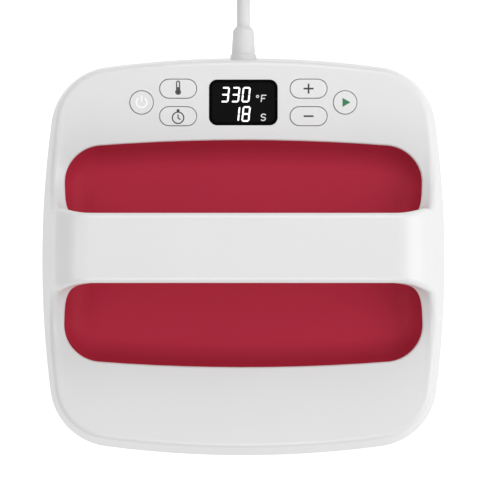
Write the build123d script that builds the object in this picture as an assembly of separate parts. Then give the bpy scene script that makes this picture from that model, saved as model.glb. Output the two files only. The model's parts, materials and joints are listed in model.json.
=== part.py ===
from build123d import *
import math
import os

# Handheld heat press: a square heated plate under a moulded shell whose broad strap handle
# bridges a sunken finger well, with a control panel behind the handle and a mains cord.
# Millimetres. The origin is the centre of the press on the surface it stands on, +Z is up,
# -Y is the side of the user and +Y is the side of the cord.

# A length beyond every face, how far a cut starts outside the face that it opens, and the
# gap between pieces that lie against each other
far_side = 160.0
overrun = 1.0
touch = 0.05

# Body outline from above, at its widest level
body_width = 240.0
body_length = 237.2
side_radius = 620.0
end_radius = 620.0
corner_radius = 38.0

# Shell levels and walls
widest_level = 15.0
seam_level = 20.0
deck_level = 46.0
wall = 2.5
wall_draft = 10.0
crease_radius = 3.2

# Strap handle, an arch whose flanks lean in below its top and flare out at both ends.
# The flare's corner radius and its reach beyond the body's sides are given at the deck and
# above the handle.
handle_top = 108.0
handle_width = 39.4
handle_crown = 0.8
handle_undercut = 2.0
handle_sweep = 26.0
flare_radii = (58.0, 32.0)
flare_margins = (20.0, -2.0)
flare_reaches = [body_width / 2 + margin for margin in flare_margins]
shoulder_radius = 20.0
sharp_angle = 15.0

# Finger opening in the deck, and the tunnel under the handle
deck_beside_opening = 15.6
deck_behind_opening = 52.4
opening_width = body_width - 2 * deck_beside_opening
opening_length = body_length - 2 * deck_behind_opening
opening_edge_radius = 1100.0
opening_corner = 22.0
opening_lean = 8.0
handle_depth = 24.0
tunnel_ceiling = handle_top - handle_depth
tunnel_corner_drop = 2.0
tunnel_corner = tunnel_ceiling - deck_level + tunnel_corner_drop
rim_radius = 1.2

# Sunken well and handle lining
lining_wall = 2.2
lining_gap = 0.2
well_floor = 33.2
well_floor_radius = 14.0
well_lean = 35.0
well_flange = 3.5
well_flange_thickness = 1.5
lining_foot = 44.0
lining_pad = 4.4
lining_pad_wall = 1.6
handle_screw_x = [-60.0, -20.0, 20.0, 60.0]
well_ear_level = 35.5
well_ear_thickness = 2.0
well_ear_radius = 4.5
well_ear_reach = 18.0
well_screw_shift = 4.0
well_screw_offset = 6.6

# Heated plate
plate_side_gap = 5.7
plate_end_gap = 6.1
plate_width = body_width - 2 * plate_side_gap
plate_length = body_length - 2 * plate_end_gap
plate_corner = 56.0
slab_height = 5.5
plate_height = 10.0
step_inset = 8.0
plate_edge = 1.2
step_draft = 3.0
plate_screw_inset = 13.0
plate_screw_share = 0.24
spacer_radius = 4.2

# Tubular element, pressed into a channel in the plate
element_radius = 3.6
element_level = 8.5
element_passes = 6
element_side_gap = 39.3
element_end_gap = 50.5
element_pitch = (plate_width - 2 * element_side_gap) / (element_passes - 1)
element_turn_y = plate_length / 2 - element_end_gap
element_end_run = 4.0
element_bend = 9.0
element_top = 25.5
channel_gap = 0.2

# Insulation and heat shield over the plate
blanket_inset = 24.0
blanket_height = 5.7
shield_gap = 0.4
shield_sheet = 0.8
shield_tab_inset = 17.0
shield_tab_end = 4.0
shield_tab_width = 14.0
shield_edge = 1.4
shield_opening_start = 2.0
sensor_opening = 3.0
cutoff_opening = 5.0
cutoff_opening_corner = 2.4
pocket_corner = 3.0
sensor_pocket = 9.0
cutoff_pocket = 14.0
lead_pocket_reach = 8.0
lead_pocket_shift = 3.0
lead_hole = 6.0
tab_thickness = 1.0
lug_thickness = 1.0
blanket_gap = 0.1
blanket_low = element_level + element_radius + blanket_gap
bead_height = 4.5
bead_gap = 0.5
tab_corner = 2.0
blade_tab = (6.3, 10.0)
blade_tab_shift = 7.0

# Sensor and thermal cut-offs on the plate
sensor_x = 0.0
cutoff_y = 36.0
cutoff_reach = 11.0
cutoff_radius = 2.0
cutoff_length = 12.0
cutoff_spacing = 6.4
cutoff_rise = 2.1
strap_thickness = 0.6
strap_width = 5.0
strap_rise = 4.2
strap_half_length = 5.6
strap_foot = 2.6
sensor_lug_radius = 4.0
sensor_tail = (5.0, 4.0)
sensor_bead_radius = 1.6
sensor_bead_length = 3.6
sensor_bead_x = 4.6

# Skirt ring below the seam
skirt_bottom = 7.0
skirt_wall = 4.6
skirt_tuck = 2.5
skirt_floor = 2.0
skirt_overlap = 2.3
skirt_edge = 1.5
seam_gap = 0.3
ledge_level = 14.0
ledge_thickness = 2.5
ledge_reach = 24.0
ledge_root = 0.5
tongue_thickness = 1.2
tongue_depth = 2.8
tongue_gap = 0.25
tongue_root = 2.0
corner_pad = 5.5
corner_pad_wall = 0.9
corner_pad_root = 1.5
plate_room = 1.0
corner_screw_shift = 0.6
boss_bottom = skirt_bottom + corner_pad

# Fasteners: shank radius, head radius, head height
plate_screw_size = (1.9, 3.6, 2.4)
case_screw_size = (1.5, 2.8, 2.0)
small_screw_size = (1.1, 2.2, 1.5)
thread_gap = 0.05
shank_gap = 0.2
snug_shank_gap = 0.15
ledge_shank_gap = 0.25
head_gap = 0.35
head_dome_share = 0.45
boss_wall = 2.0
boss_gap = 0.2
skirt_boss_gap = 0.3

# Screw lengths under the head, the depths of their pilot holes and of the heads' recesses
housing_screw_length = 13.0
housing_pilot = 12.0
housing_recess = case_screw_size[2] + 0.4
handle_screw_length = 11.0
handle_pilot = 10.0
handle_recess = case_screw_size[2] + 0.2
well_screw_length = 6.0
well_pilot = 5.0
control_screw_length = 5.0
control_pilot = 5.0
power_screw_length = 8.0
power_pilot = 8.0
plate_screw_length = 11.0
plate_pilot = 7.0
small_plate_screw_length = 4.8
shield_pilot = 6.0
small_plate_pilot = 5.0
clamp_screw_length = 10.5
clamp_pilot = 9.0

# Control panel, whose row of keys lies a fixed distance inside the body's rear end
panel_setback = 30.2
panel_row = body_length / 2 - panel_setback
key_travel = 0.7
key_gap = 0.5
key_rise = 0.3
key_edge = 0.3
key_flange = 1.4
key_flange_thickness = 1.4
stem_radius = 2.0
round_key_radius = 7.2
round_key_x = 59.6
long_key_width = 22.3
long_key_height = 11.8
long_key_x = 38.2
long_key_step = 8.1
lens_width = 40.3
lens_height = 27.0
lens_corner = 4.8
lens_gap = 0.1
lens_flange = 1.6
lens_flange_thickness = 1.2
lens_flange_corner = 3.0
lens_rise = 0.1
display_height = 6.0
display_margins = (3.0, 2.6)
display_frame = 6.0
display_recess = 0.6
display_corner = 1.0

# Control board and its switches
board_thickness = 1.6
board_corner = 2.0
board_level = 36.0
board_clearance = 11.4
board_width = opening_width - 2 * (opening_corner - well_screw_shift + board_clearance)
board_length = 36.0
board_shift = 0.2
board_near = panel_row + board_shift - board_length / 2
board_far = board_near + board_length
board_screw_side = 6.0
board_screw_x = board_width / 2 - board_screw_side
board_screw_inset = 4.2
notch_width = 32.0
notch_depth = 7.6
switch_side = 6.0
switch_height = 3.4
switch_corner = 0.6
bore_gap = 0.15
plunger_radius = 1.7
plunger_height = 3.2
plunger_gap = 0.1
plunger_rise = 1.6
buzzer_side = 18.0
buzzer_x = board_width / 2 - buzzer_side
buzzer_radius = 6.0
buzzer_height = 6.5
buzzer_hole_radius = 1.2
buzzer_hole_depth = 1.0
ribbon_x = 40.0
ribbon_width = 16.0
ribbon_thickness = 1.0
ribbon_bend = 3.0
ribbon_drop = 0.9
ribbon_level = 28.4
ribbon_landing = 1.0
ribbon_overlap = 6.0
ribbon_turn = 8.0

# Power board, under the deck at the user's side
power_level = 24.6
power_width = 156.0
power_length = 39.5
power_setback = 11.6
power_far = power_setback - body_length / 2
power_near = power_far + power_length
power_screw_x = power_width / 2 - board_screw_side
power_screw_inset = 4.5

# Components on the power board: places, distances from the board's front edge, and sizes
component_corner = 0.6
transformer_x = -30.0
transformer_inset = 19.0
transformer_size = (19.0, 16.0, 14.0)
winding_window = (13.0, 5.0, 8.0)
winding_window_low = 3.0
winding_window_reach = 7.0
relay_x = 28.0
relay_inset = 20.0
relay_size = (19.0, 15.5, 15.0)
relay_corner = 0.8
capacitor_x = (-8.0, 2.5, 13.0)
capacitor_inset = 23.0
capacitor_radius = 4.0
capacitor_height = 13.5
capacitor_edge = 0.7
fuse_inset = 6.0
fuse_start_x = -12.0
fuse_length = 20.0
fuse_radius = 2.6
fuse_rise = 4.0
clip_x = (-10.0, 6.0)
clip_size = (3.0, 7.0, 5.0)
sink_x = 56.0
sink_inset = 13.8
sink_y = power_far + sink_inset
sink_width = 24.0
sink_height = 15.0
sink_plate = 2.4
fin_count = 5
fin_pitch = 5.2
fin_thickness = 1.2
fin_length = 7.0
fin_root = 0.5
triac_size = (10.2, 4.4, 11.0)
triac_rise = 2.0
triac_corner = 0.3
leg_pitch = 2.54
leg_size = (0.8, 0.6)
terminal_count = 6
terminal_x = -50.0
terminal_inset = 5.5
terminal_y = power_near - terminal_inset
terminal_step = 5.6
terminal_depth = 9.0
terminal_height = 10.0
terminal_margin = 2.4
terminal_rise = 3.4
terminal_level = power_level + touch + terminal_rise
terminal_screw_radius = 1.9
terminal_screw_low = 6.0
mouth_radius = 1.8
mouth_depth = 3.0

# Wiring inside the case
wire_level = 25.6
wire_radius = 1.4
core_radius = 1.2
core_spacing = 2.5
lead_bend = 6.0
lead_share = 0.9
landing_runs = (28.0, 14.0)
landing_depth = 1.5
core_runs = (6.0, 18.0)
heater_lead_runs = (4.0, 15.0, 35.0)

# Mains cord
cord_radius = 3.9
cord_level = 30.0
relief_radius = 7.7
relief_tip_radius = 6.1
relief_length = 19.0
relief_flange = 9.5
relief_depth = 6.4
relief_flange_thickness = 2.0
relief_collar = 2.2
relief_collar_step = (0.7, 0.4)
relief_tip_step = (1.4, 2.2)
clamp_post_x = 9.0
clamp_setback = 13.6
clamp_y = body_length / 2 - clamp_setback
clamp_length = 7.0
clamp_post_side = 3.5
clamp_cap = 2.0
clamp_step = 3.2
clamp_step_shift = 1.0
clamp_step_width = 7.0
jacket_bare = 8.0
jacket_end = clamp_y - jacket_bare
clamp_split = cord_level
floor_gap = 1.0
cord_run = [(0, 155, 30), (0, 174, 21.5), (0, 193, 11), (0, 212, 4.9), (0, 230, 4.9)]
coil_outer_radius = 58.0
coil_pitch = 8.8
coil_layer_step = 8.3
coil_turns_in = 3.0
coil_turns_out = 2.75
plug_lead = 24.0
tie_width = 6.0
tie_thickness = 0.8
tie_corner = 2.5
tie_inner_gap = 0.5
tie_outer_gap = 0.4
tie_level_gap = 0.1

# Moulded three-pin plug
plug_width = 30.0
plug_height = 26.0
plug_length = 32.0
plug_neck_length = 24.0
plug_neck_radius = 9.0
plug_neck_wall = 1.2
plug_neck_overlap = 1.0
plug_rib_count = 5
plug_rib_start = 4.0
plug_rib_pitch = 3.6
plug_rib_width = 1.4
plug_rib_reach = 12.0
plug_rib_depth = (0.6, 0.2)
plug_corner = 7.0
plug_rear_edge = 5.0
plug_front_edge = 1.0
blade_spacing = 12.7
blade_width = 6.35
blade_thickness = 1.5
blade_length = 17.5
earth_radius = 2.4
earth_offset = 11.9
earth_length = 20.5
blade_shift = 4.0
blade_chamfer = 0.5
earth_tip_share = 0.8


def tan(angle):
    return math.tan(math.radians(angle))


def at(x, y, z=0.0):
    return Location((x, y, z))


def group(solids):
    """Several separate solids under one name."""
    return Compound(children=[s for part in solids for s in part.solids()])


def cylinder(x, y, low, high, radius):
    return at(x, y, low) * extrude(Circle(radius), amount=high - low)


def block(x, y, low, high, width, length, corner=0.0):
    face = RectangleRounded(width, length, corner) if corner else Rectangle(width, length)
    return at(x, y, low) * extrude(face, amount=high - low)


def corners(x, y):
    return [(i * x, j * y) for i in (-1, 1) for j in (-1, 1)]


def bowed_square(width, length, corner, inset=0.0):
    """The outline seen from above: four bowed sides and round corners, moved in by the inset."""
    x = width / 2 - inset
    y = length / 2 - inset
    side = side_radius - inset
    end = end_radius - inset
    face = Pos(x - side, 0) * Circle(side) & Pos(side - x, 0) * Circle(side)
    face = face & Pos(0, y - end) * Circle(end) & Pos(0, end - y) * Circle(end)
    return fillet(face.vertices(), corner - inset)


def body_outline(inset=0.0):
    return bowed_square(body_width, body_length, corner_radius, inset)


def plate_outline(inset=0.0):
    return bowed_square(plate_width, plate_length, plate_corner, inset)


def wall_inset(level):
    """How far the shell's outside has leaned in at a level above the widest one."""
    return (level - widest_level) * tan(wall_draft)


# Upper housing: outer form

def hand_space(inset):
    """The room for a hand behind the handle, whose corners open out towards the deck."""
    levels = (deck_level - inset, handle_top + 2 * wall)
    faces = []
    for level, corner, reach in zip(levels, flare_radii, flare_reaches):
        near = handle_width / 2 - inset - (handle_top - inset - level) * tan(handle_undercut)
        face = at(0, (near + far_side) / 2) * Rectangle(2 * (reach + inset), far_side - near)
        inner_corners = [v for v in face.vertices() if v.Y < near + touch]
        faces.append(at(0, 0, level) * fillet(inner_corners, corner + inset))
    space = loft(faces, ruled=True)
    foot = [
        e for e in space.edges()
        if e.bounding_box().max.Z < levels[0] + touch and e.center().Y < far_side - touch
    ]
    return fillet(foot, handle_sweep + inset)


def is_sharp(edge, faces):
    """Whether the two faces that meet in an edge meet at an angle there."""
    joined = [f for f in faces if any(edge.is_same(e) for e in f.edges())]
    normals = [f.normal_at(edge @ 0.5) for f in joined]
    return len(normals) == 2 and normals[0].get_angle(normals[1]) > sharp_angle


def envelope(inset, bottom):
    """The shell's outer form, or the same form moved in by the inset, from a bottom level up."""
    outline = at(0, 0, widest_level) * body_outline(inset)
    tapered = extrude(outline, amount=handle_top + 2 * wall - widest_level, taper=wall_draft)
    if bottom < widest_level:
        tapered += at(0, 0, bottom) * extrude(body_outline(inset), amount=widest_level - bottom)
    half = handle_width / 2
    crown_radius = (half ** 2 + handle_crown ** 2) / (2 * handle_crown)
    top = handle_top - inset
    crown = Plane.YZ * (Pos(0, top + handle_crown - crown_radius) * Circle(crown_radius))
    block_under_crown = tapered & extrude(crown, amount=far_side, both=True)
    space = hand_space(inset)
    solid = block_under_crown - [space, mirror(space, about=Plane.XZ)]
    solid &= block(0, 0, bottom, far_side, 2 * far_side, 2 * far_side)
    shoulders = [
        e for e in solid.edges()
        if e.center().Z > top - touch and e.bounding_box().size.X < shoulder_radius / 4
    ]
    solid = fillet(shoulders, shoulder_radius - inset)
    faces = solid.faces()
    creases = [
        e for e in solid.edges()
        if e.bounding_box().min.Z > deck_level - inset - touch and is_sharp(e, faces)
    ]
    return fillet(creases, crease_radius - inset)


def opening_outline(outset=0.0):
    """The opening in the deck from above: straight ends, slightly bowed long edges."""
    y = opening_length / 2 + outset
    edge = opening_edge_radius + outset
    face = Rectangle(opening_width + 2 * outset, 2 * far_side)
    face = face & Pos(0, y - edge) * Circle(edge) & Pos(0, edge - y) * Circle(edge)
    return fillet(face.vertices(), opening_corner + outset)


def tunnel_profile(outset, bottom, ceiling):
    """Front view of the tunnel under the handle."""
    low = opening_width / 2 + outset + (deck_level - bottom) * tan(opening_lean)
    high = low - (ceiling - bottom) * tan(opening_lean)
    points = [(-low, bottom), (-high, ceiling), (high, ceiling), (low, bottom)]
    face = make_face(Polyline(*points, close=True))
    return fillet([v for v in face.vertices() if v.Y > ceiling - touch], tunnel_corner + outset)


def grip_space(outset, bottom):
    """The space for fingers: a tapered opening below and beside the handle, arched under it."""
    ceiling = tunnel_ceiling + outset
    spread = (deck_level - bottom) * tan(opening_lean) + outset
    base = at(0, 0, bottom) * opening_outline(spread)
    tapered = extrude(base, amount=ceiling - bottom + wall, taper=opening_lean)
    arch = extrude(Plane.XZ * tunnel_profile(outset, bottom, ceiling), amount=far_side, both=True)
    return tapered & arch


def rim_edges(solid, outer, space):
    """Edges where the finger space breaks through the outer form."""
    outer_faces = outer.faces()
    space_faces = space.faces()
    near = 0.001
    found = []
    for edge in solid.edges():
        points = [edge @ 0.2, edge @ 0.5, edge @ 0.8]
        if all(min(f.distance_to(p) for f in space_faces) < near for p in points):
            if all(min(f.distance_to(p) for f in outer_faces) < near for p in points):
                found.append(edge)
    return found


# Places of the control panel's pieces

keys = {
    "power": (-round_key_x, 0.0, True),
    "temperature": (-long_key_x, long_key_step, False),
    "timer": (-long_key_x, -long_key_step, False),
    "plus": (long_key_x, long_key_step, False),
    "minus": (long_key_x, -long_key_step, False),
    "start": (round_key_x, 0.0, True),
}


def key_place(name):
    x, y, is_round = keys[name]
    return x, panel_row + y, is_round


def key_outline(name, outset):
    """A key seen from above: a disc, or a long key with round ends."""
    is_round = keys[name][2]
    if is_round:
        return Circle(round_key_radius + outset)
    reach = long_key_width / 2 - long_key_height / 2
    ends = SlotCenterToCenter(2 * reach, long_key_height + 2 * outset)
    return ends


def control_screws():
    near = board_near + board_screw_inset
    far = board_far - board_screw_inset
    return [(i * board_screw_x, y) for i in (-1, 1) for y in (near, far)]


def power_screws():
    near = power_near - power_screw_inset
    far = power_far + power_screw_inset
    return [(i * power_screw_x, y) for i in (-1, 1) for y in (near, far)]


def well_screw_places():
    """Screw ears on the well, just outside its corners."""
    x = opening_width / 2 - opening_corner + well_screw_shift
    y = opening_length / 2 + well_screw_offset
    return corners(x, y)


def corner_screw_places():
    """Case screws in the skirt's corners, between the plate's corner and the body's."""
    middle = (far_corner(plate_width, plate_length, plate_corner)
              + far_corner(body_width, body_length, corner_radius)) / 2
    return corners(middle.X - corner_screw_shift, middle.Y - corner_screw_shift)


def far_corner(width, length, corner):
    """Where the diagonal through a corner's arc meets the outline."""
    face = bowed_square(width, length, corner)
    arcs = [e for e in face.edges() if abs(e.radius - corner) < touch]
    arc = max(arcs, key=lambda e: e.center().X + e.center().Y)
    return arc @ 0.5


# Upper housing: the moulded shell

# Level at which the cuts for the keys and the window start, in the hollow under the deck
deck_cut_level = deck_level - 1.5 * wall


def key_holes():
    holes = []
    for name in keys:
        x, y, _ = key_place(name)
        hole = extrude(key_outline(name, 0.0), amount=2 * wall)
        holes.append(at(x, y, deck_cut_level) * hole)
    return holes


def upper_housing():
    outer = envelope(0.0, seam_level)
    space = grip_space(0.0, deck_level - 2 * wall)
    shell = outer - space
    shell = fillet(rim_edges(shell, outer, space), rim_radius)
    shell = shell - envelope(wall, seam_level - overrun)
    inner = envelope(wall / 2, boss_bottom)
    shell = shell + [housing_tongue(), *housing_bosses(inner)]
    lens = extrude(RectangleRounded(lens_width, lens_height, lens_corner), amount=2 * wall)
    pilots = [cylinder(x, y, low - touch, low + depth, r) for x, y, low, depth, r in housing_holes()]
    window = at(0, panel_row, deck_cut_level) * lens
    return shell - [window, cord_hole(), *key_holes(), *pilots]


def housing_bosses(inner):
    """Screw bosses under the deck and the handle's roof, trimmed to the inside of the shell."""
    bosses = []
    case_radius = case_screw_size[0] + boss_wall
    small_radius = small_screw_size[0] + boss_wall
    under_deck = deck_level - wall / 2
    for x, y in corner_screw_places():
        bosses.append(cylinder(x, y, boss_bottom, under_deck, case_radius))
    for x, y in control_screws():
        bosses.append(cylinder(x, y, board_level, under_deck, small_radius))
    for x, y in power_screws():
        bosses.append(cylinder(x, y, power_level, under_deck, small_radius))
    for x, y in well_screw_places():
        low = well_ear_level + well_ear_thickness
        bosses.append(cylinder(x, y, low, under_deck, small_radius))
    for x in handle_screw_x:
        low = tunnel_ceiling + lining_pad
        bosses.append(cylinder(x, 0, low, handle_top - wall / 2, case_radius))
    return [boss & inner for boss in bosses]


def housing_holes():
    """Pilot holes for every screw that bites into the housing: x, y, mouth, depth, radius."""
    case_radius = case_screw_size[0] + thread_gap
    small_radius = small_screw_size[0] + thread_gap
    holes = [(x, y, boss_bottom, housing_pilot, case_radius) for x, y in corner_screw_places()]
    holes += [(x, y, board_level, control_pilot, small_radius) for x, y in control_screws()]
    holes += [(x, y, power_level, power_pilot, small_radius) for x, y in power_screws()]
    ear_top = well_ear_level + well_ear_thickness
    holes += [(x, y, ear_top, well_pilot, small_radius) for x, y in well_screw_places()]
    pad_top = tunnel_ceiling + lining_pad
    holes += [(x, 0, pad_top, handle_pilot, case_radius) for x in handle_screw_x]
    return holes


def housing_tongue():
    """A lip inside the seam, which stands down into the skirt."""
    outside = skirt_wall + tongue_gap
    inside = outside + tongue_thickness
    low = seam_level - tongue_depth
    lip = body_outline(outside) - body_outline(inside)
    tongue = at(0, 0, low) * extrude(lip, amount=tongue_depth + tongue_root)
    root = body_outline(wall_inset(seam_level) + wall / 2) - body_outline(inside)
    tongue += at(0, 0, seam_level) * extrude(root, amount=tongue_root)
    return tongue


def cord_hole():
    hole = Plane.XZ * (Pos(0, cord_level) * Circle(relief_radius + touch * 2))
    return at(0, relief_inner) * extrude(hole, amount=-far_side)


# Lining of the handle and the sunken well

def handle_lining():
    """The arched cover under the handle, screwed up into the handle's roof."""
    outer = grip_space(lining_wall, lining_foot)
    inner = grip_space(0.0, lining_foot - overrun)
    bar = envelope(wall + lining_gap, seam_level)
    lining = (outer - inner) & bar
    head = case_screw_size[1] + head_gap
    pad_top = tunnel_ceiling + lining_pad
    for x in handle_screw_x:
        lining += cylinder(x, 0, tunnel_ceiling, pad_top, head + lining_pad_wall)
    for x in handle_screw_x:
        lining -= cylinder(x, 0, tunnel_ceiling - overrun, tunnel_ceiling + handle_recess, head)
        lining -= cylinder(x, 0, tunnel_ceiling, handle_top, case_screw_size[0] + shank_gap)
    return lining


def well_basin(outset, floor, floor_radius):
    """The well's basin from the deck's underside down to a floor, with a soft floor edge."""
    top = deck_level - wall
    spread = wall * tan(opening_lean) + outset
    basin = extrude(at(0, 0, top) * opening_outline(spread), amount=-(top - floor), taper=well_lean)
    edges = [e for e in basin.edges() if e.bounding_box().max.Z < floor + touch]
    return fillet(edges, floor_radius)


def grip_well():
    """The shallow coloured tub that the fingers reach into."""
    top = deck_level - wall - touch
    floor = well_floor - lining_wall
    inner = well_basin(0.0, well_floor, well_floor_radius)
    outer = well_basin(lining_wall, floor, well_floor_radius + lining_wall)
    spread = wall * tan(opening_lean) + well_flange
    low = top - well_flange_thickness
    flange = at(0, 0, low) * extrude(opening_outline(spread), amount=well_flange_thickness)
    trimmed = outer & block(0, 0, 0, top, 2 * far_side, 2 * far_side)
    tub = flange + trimmed
    for x, y in well_screw_places():
        ear = cylinder(x, y, well_ear_level, well_ear_level + well_ear_thickness, well_ear_radius)
        inward = -math.copysign(well_ear_reach / 2, y)
        ear += block(x, y + inward, well_ear_level, well_ear_level + well_ear_thickness,
                     2 * well_ear_radius, well_ear_reach)
        tub += ear
    tub -= inner
    for x, y in well_screw_places():
        low = well_ear_level + well_ear_thickness
        shank = small_screw_size[0] + shank_gap
        tub -= cylinder(x, y, well_ear_level - overrun, low + overrun, shank)
        room = small_screw_size[0] + boss_wall + boss_gap
        tub -= cylinder(x, y, low, deck_level, room)
    return tub


# Skirt ring

def lower_skirt():
    """The ring below the seam that carries the plate on its ledge."""
    top = seam_level - seam_gap
    outline = at(0, 0, widest_level) * body_outline()
    upper = extrude(outline, amount=top - widest_level, taper=wall_draft)
    tuck = math.degrees(math.atan(skirt_tuck / (widest_level - skirt_bottom)))
    lower = extrude(outline, amount=-(widest_level - skirt_bottom), taper=tuck)
    ring = upper + lower
    rounding = [e for e in ring.edges() if e.bounding_box().max.Z < skirt_bottom + touch]
    ring = fillet(rounding, skirt_edge)
    hollow = at(0, 0, skirt_bottom + skirt_floor) * extrude(body_outline(skirt_wall), amount=top)
    ring -= hollow
    ring -= extrude(plate_outline(skirt_overlap), amount=top)
    ledge_face = body_outline(skirt_wall - ledge_root) - body_outline(ledge_reach)
    ring += at(0, 0, ledge_level) * extrude(ledge_face, amount=ledge_thickness)
    return skirt_fittings(ring)


def skirt_fittings(ring):
    """Corner pads, screw holes, cord posts and clearance for the housing's bosses."""
    pad_radius = case_screw_size[1] + head_gap + corner_pad_wall
    inner = body_outline(skirt_wall - corner_pad_root)
    inside = at(0, 0, skirt_bottom) * extrude(inner, amount=deck_level)
    clear_of_plate = extrude(plate_outline(-plate_room), amount=deck_level)
    for x, y in corner_screw_places():
        boss_room = case_screw_size[0] + boss_wall + skirt_boss_gap
        ring -= cylinder(x, y, boss_bottom, far_side, boss_room)
        pad = cylinder(x, y, skirt_bottom, boss_bottom - touch, pad_radius) & inside
        ring += pad - clear_of_plate
    for x, y in corner_screw_places():
        head_room = case_screw_size[1] + head_gap
        ring -= cylinder(x, y, skirt_bottom - overrun, skirt_bottom + housing_recess, head_room)
        ring -= cylinder(x, y, 0, boss_bottom + overrun, case_screw_size[0] + shank_gap)
    ledge_top = ledge_level + ledge_thickness
    for x, y in plate_screw_places():
        shank = plate_screw_size[0] + ledge_shank_gap
        ring -= cylinder(x, y, ledge_level - overrun, ledge_top + overrun, shank)
    width = 2 * (clamp_post_x + clamp_post_side)
    root = ledge_top - ledge_thickness / 2
    saddle = block(0, clamp_y, root, clamp_split - touch, width, clamp_length)
    saddle -= cord_groove()
    for i in (-1, 1):
        saddle -= cylinder(i * clamp_post_x, clamp_y, clamp_split - clamp_pilot,
                           clamp_split + overrun, small_screw_size[0] + thread_gap)
    return ring + saddle


def cord_groove():
    groove = Plane.XZ * (Pos(0, cord_level) * Circle(cord_radius + touch))
    return extrude(groove, amount=far_side, both=True)


def cord_clamp():
    """The bar that grips the cord on the skirt's two posts."""
    top = cord_level + cord_radius + clamp_cap
    width = 2 * (clamp_post_x + clamp_post_side)
    bar = block(0, clamp_y, clamp_split, top, width, clamp_length)
    bar -= cord_groove()
    step = clamp_split + clamp_step
    for i in (-1, 1):
        bar -= block(i * (clamp_post_x + clamp_step_shift), clamp_y, step, top + overrun,
                     clamp_step_width, clamp_length + overrun)
        shank = small_screw_size[0] + snug_shank_gap
        bar -= cylinder(i * clamp_post_x, clamp_y, 0, far_side, shank)
    return bar


# Heated plate and what lies on it

def plate_screw_places():
    """Eight screws near the plate's edge, two on each side."""
    x = plate_width / 2 - plate_screw_inset
    y = plate_length / 2 - plate_screw_inset
    along_x = plate_width * plate_screw_share
    along_y = plate_length * plate_screw_share
    return corners(x, along_y) + corners(along_x, y)


def element_path():
    """Centreline of the element: passes along Y joined by half turns, both ends turned up."""
    z = element_level
    turn = element_pitch / 2
    xs = [(i - (element_passes - 1) / 2) * element_pitch for i in range(element_passes)]
    rear = element_turn_y + element_end_run
    edges = []
    for i, x in enumerate(xs):
        goes_forward = i % 2 == 0
        start = rear if i == 0 else element_turn_y
        end = rear if i == element_passes - 1 else element_turn_y
        ys = (start, -element_turn_y) if goes_forward else (-element_turn_y, end)
        edges.append(Edge.make_line((x, ys[0], z), (x, ys[1], z)))
        if i < element_passes - 1:
            side = -1 if goes_forward else 1
            y = side * element_turn_y
            middle = (x + turn, y + side * turn, z)
            edges.append(Edge.make_three_point_arc((x, y, z), middle, (x + 2 * turn, y, z)))
    for x in (xs[0], xs[-1]):
        half = element_bend * math.sin(math.radians(45))
        rise = element_bend - half
        middle = (x, rear + half, z + rise)
        up = (x, rear + element_bend, z + element_bend)
        edges.append(Edge.make_three_point_arc((x, rear, z), middle, up))
        edges.append(Edge.make_line(up, (x, rear + element_bend, element_top)))
    return edges


def element_end_places():
    x = (element_passes - 1) / 2 * element_pitch
    return [(i * x, element_turn_y + element_end_run + element_bend) for i in (-1, 1)]


def sweep_tube(edges, radius):
    path = Wire(edges)
    section = Plane(origin=path @ 0, z_dir=path % 0) * Circle(radius)
    return sweep(section, path=path)


def heating_element():
    return sweep_tube(element_path(), element_radius)


def heat_plate():
    slab = extrude(plate_outline(), amount=slab_height)
    slab = fillet([e for e in slab.edges() if e.bounding_box().max.Z < touch], plate_edge)
    raised = at(0, 0, slab_height) * extrude(
        plate_outline(step_inset), amount=plate_height - slab_height, taper=step_draft)
    plate = slab + raised
    channel = element_radius + channel_gap
    plate -= element_channel(channel)
    for x, y in plate_screw_places():
        thread = plate_screw_size[0] + thread_gap
        plate -= cylinder(x, y, plate_height - plate_pilot, far_side, thread)
    thread = small_screw_size[0] + thread_gap
    for x, y in shield_screw_places():
        plate -= cylinder(x, y, plate_height - shield_pilot, far_side, thread)
    for x, y in [(sensor_x, 0), *cutoff_screw_places()]:
        plate -= cylinder(x, y, plate_height - small_plate_pilot, far_side, thread)
    return plate


def element_channel(half_width):
    """A straight-walled channel in the plate's top that follows the element."""
    low = element_level - element_radius - channel_gap
    faces = []
    xs = [(i - (element_passes - 1) / 2) * element_pitch for i in range(element_passes)]
    turn = element_pitch / 2
    for i, x in enumerate(xs):
        ends_rear = i in (0, element_passes - 1)
        rear = element_turn_y + element_end_run + element_bend + half_width if ends_rear else element_turn_y
        run = Rectangle(2 * half_width, rear + element_turn_y)
        faces.append(Pos(x, (rear - element_turn_y) / 2) * run)
    for i in range(element_passes - 1):
        side = -1 if i % 2 == 0 else 1
        ring = Circle(turn + half_width) - Circle(turn - half_width)
        width = 2 * (turn + half_width)
        ring = ring & Pos(0, side * width / 2) * Rectangle(width, width)
        faces.append(Pos(xs[i] + turn, side * element_turn_y) * ring)
    joined = faces[0]
    for face in faces[1:]:
        joined += face
    return at(0, 0, low) * extrude(joined, amount=far_side)


def shield_screw_places():
    x = plate_width / 2 - shield_tab_inset
    y = plate_length / 2 - shield_tab_inset
    return [(-x, 0), (x, 0), (0, -y), (0, y)]


def cutoff_screw_places():
    return [(0, cutoff_y - cutoff_reach), (0, cutoff_y + cutoff_reach)]


def insulation_blanket():
    """Ceramic fibre felt over the element, with pockets for the sensor and the cut-offs."""
    low = at(0, 0, blanket_low)
    felt = low * extrude(plate_outline(blanket_inset), amount=blanket_height)
    for x, y in element_end_places():
        felt -= block(x, y - lead_pocket_shift, 0, far_side, 2 * lead_hole,
                      2 * lead_hole + lead_pocket_reach, pocket_corner)
    felt -= cylinder(sensor_x, 0, 0, far_side, sensor_pocket)
    felt -= block(0, cutoff_y, 0, far_side, cutoff_pocket,
                  2 * (cutoff_reach + cutoff_opening), pocket_corner)
    return felt


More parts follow.
